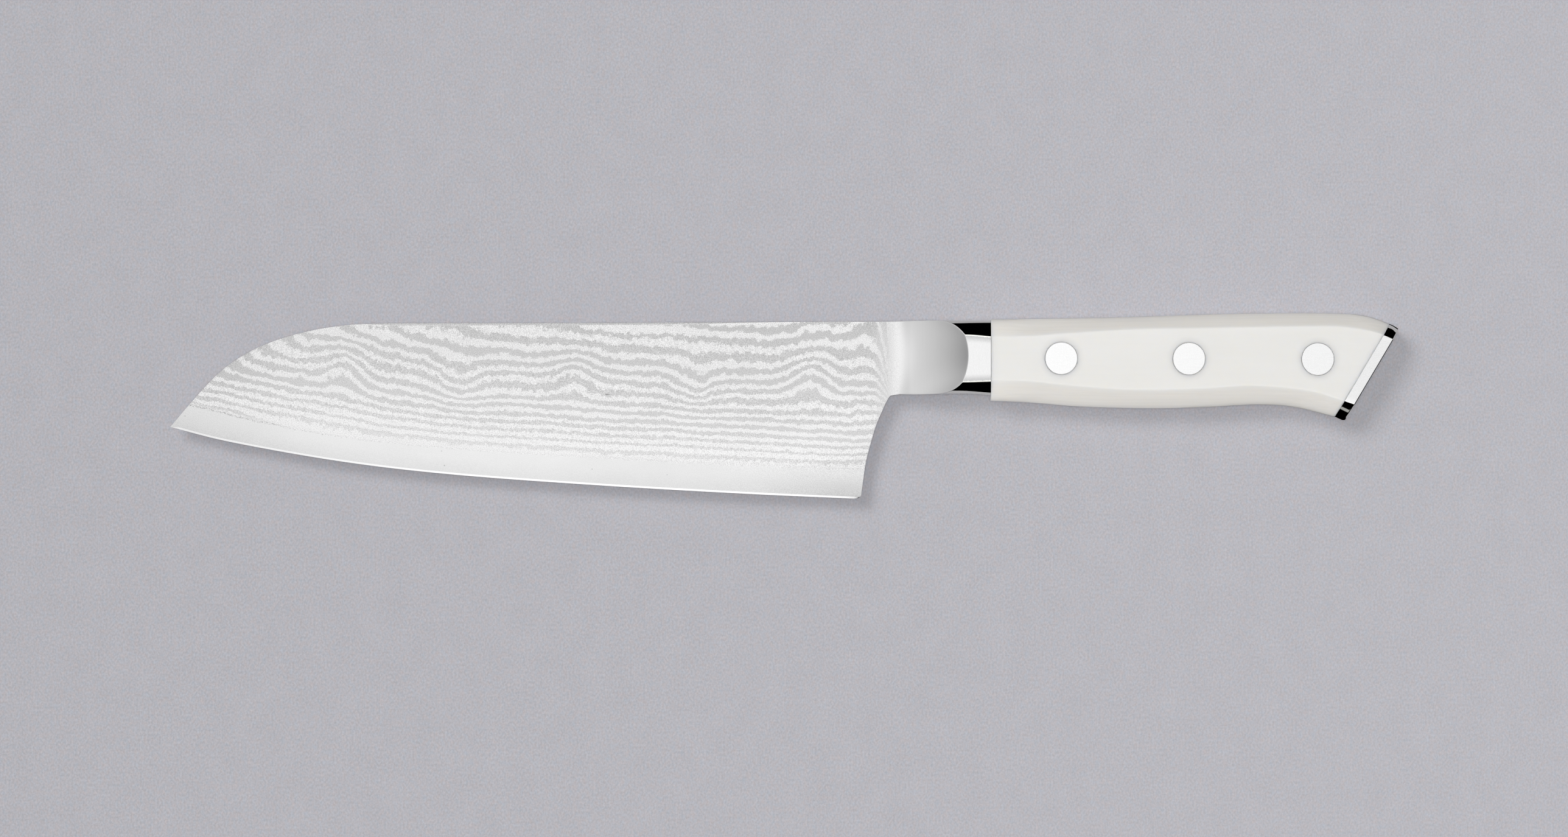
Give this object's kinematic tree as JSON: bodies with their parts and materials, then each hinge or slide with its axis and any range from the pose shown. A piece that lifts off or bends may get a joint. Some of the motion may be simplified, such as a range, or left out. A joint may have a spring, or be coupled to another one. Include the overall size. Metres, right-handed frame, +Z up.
{
  "type": "santoku knife",
  "caption": "Full-tang santoku kitchen knife with a layered-steel blade, hollowed steel bolster, riveted white composite scales and a slanted steel end cap.",
  "frame": {"origin": "on the surface that the knife lies on, under the middle of its length and of its height from cutting edge to spine", "axes": "+X from the blade's tip to the butt, +Y from the cutting edge to the spine, +Z up from the surface, across the knife's thickness; the knife lies on its right side with the left side up"},
  "size_m": [0.3059, 0.0462, 0.015],
  "materials": {
    "core_steel": "satin, with a fine bright bevel along the cutting edge",
    "layered_steel": "etched layered steel, matt grey with bright wavy lines",
    "bolster_steel": "mirror polish on the shoulders, fine brushing on the flat, satin in the hollow",
    "white_composite": "smooth white resin composite, softly glossy and slightly translucent",
    "cap_steel": "mirror polish with finely brushed flats",
    "rivet_steel": "fine brushing, ground flush"
  },
  "bodies": {
    "root": {"blade_core": "core_steel", "cladding_left": "layered_steel", "cladding_right": "layered_steel", "bolster_left": "bolster_steel", "bolster_right": "bolster_steel", "scale_left": "white_composite", "scale_right": "white_composite", "end_cap": "cap_steel", "rivet_front_male": "rivet_steel", "rivet_front_female": "rivet_steel", "rivet_middle_male": "rivet_steel", "rivet_middle_female": "rivet_steel", "rivet_rear_male": "rivet_steel", "rivet_rear_female": "rivet_steel"}
  },
  "joints": []
}
